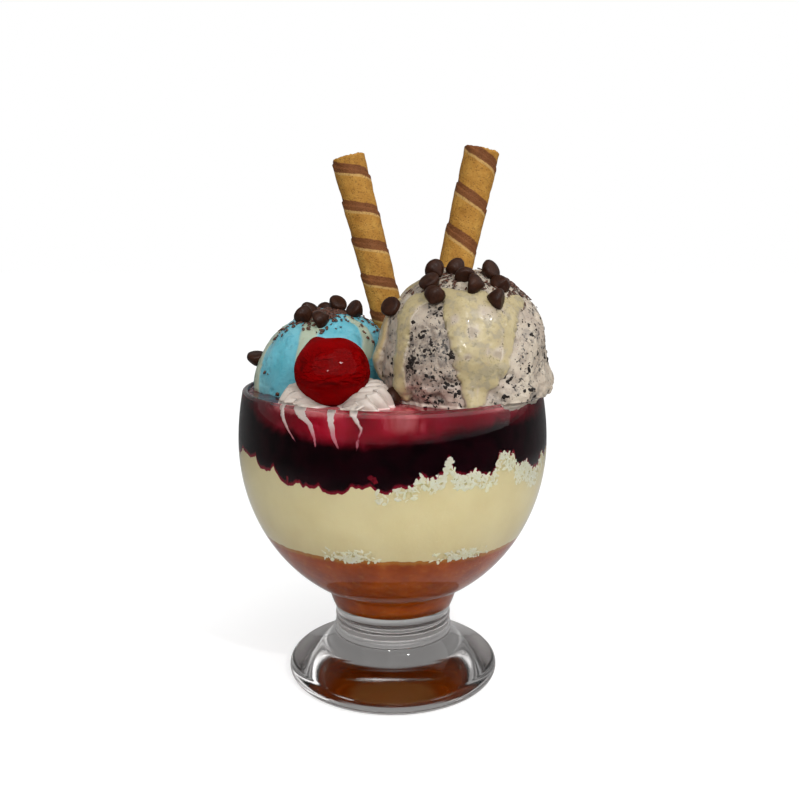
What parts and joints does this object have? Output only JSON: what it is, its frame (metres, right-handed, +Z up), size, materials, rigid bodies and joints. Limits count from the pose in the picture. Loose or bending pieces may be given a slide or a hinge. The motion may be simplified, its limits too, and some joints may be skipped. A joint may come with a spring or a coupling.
{
  "type": "ice cream sundae",
  "caption": "Ice cream sundae in a footed glass bowl: layered fruit puree, cream and berry sauce, ice cream scoops, rolled wafers, whipped cream, a cherry and chocolate chips.",
  "frame": {"origin": "centre of the flat underside of the glass foot", "axes": "+Z up along the glass's axis; -Y is the front, where the rosette and the cherry are; +X towards the cookie scoop"},
  "size_m": [0.108, 0.108, 0.1876],
  "materials": {
    "clear_glass": "clear, polished",
    "fruit_puree": "smooth orange fruit puree, moist",
    "cream": "pale yellow cream, moist",
    "berry_sauce": "dark berry sauce, wet",
    "cookie_ice_cream": "vanilla ice cream with dark cookie crumbs",
    "blue_ice_cream": "pale blue ice cream, melting a little",
    "whipped_cream": "white whipped cream",
    "cherry": "candied cherry, glossy",
    "wafer": "golden rolled wafer with a brown spiral stripe",
    "chocolate": "dark chocolate, satin"
  },
  "bodies": {
    "root": {"berry_layer": "berry_sauce", "cherry": "cherry", "chip_blue_01": "chocolate", "chip_blue_02": "chocolate", "chip_blue_03": "chocolate", "chip_blue_04": "chocolate", "chip_blue_05": "chocolate", "chip_blue_06": "chocolate", "chip_blue_07": "chocolate", "chip_blue_08": "chocolate", "chip_blue_09": "chocolate", "chip_cookie_01": "chocolate", "chip_cookie_02": "chocolate", "chip_cookie_03": "chocolate", "chip_cookie_04": "chocolate", "chip_cookie_05": "chocolate", "chip_cookie_06": "chocolate", "chip_cookie_07": "chocolate", "chip_cookie_08": "chocolate", "chip_cookie_09": "chocolate", "chip_cookie_10": "chocolate", "chip_cookie_11": "chocolate", "chip_cookie_12": "chocolate", "chip_cookie_13": "chocolate", "chip_nestled_01": "chocolate", "cream_layer": "cream", "fruit_puree": "fruit_puree", "glass": "clear_glass", "scoop_blue": "blue_ice_cream", "scoop_cookie": "cookie_ice_cream", "wafer_left": "wafer", "wafer_right": "wafer", "whipped_cream": "whipped_cream"}
  },
  "joints": []
}
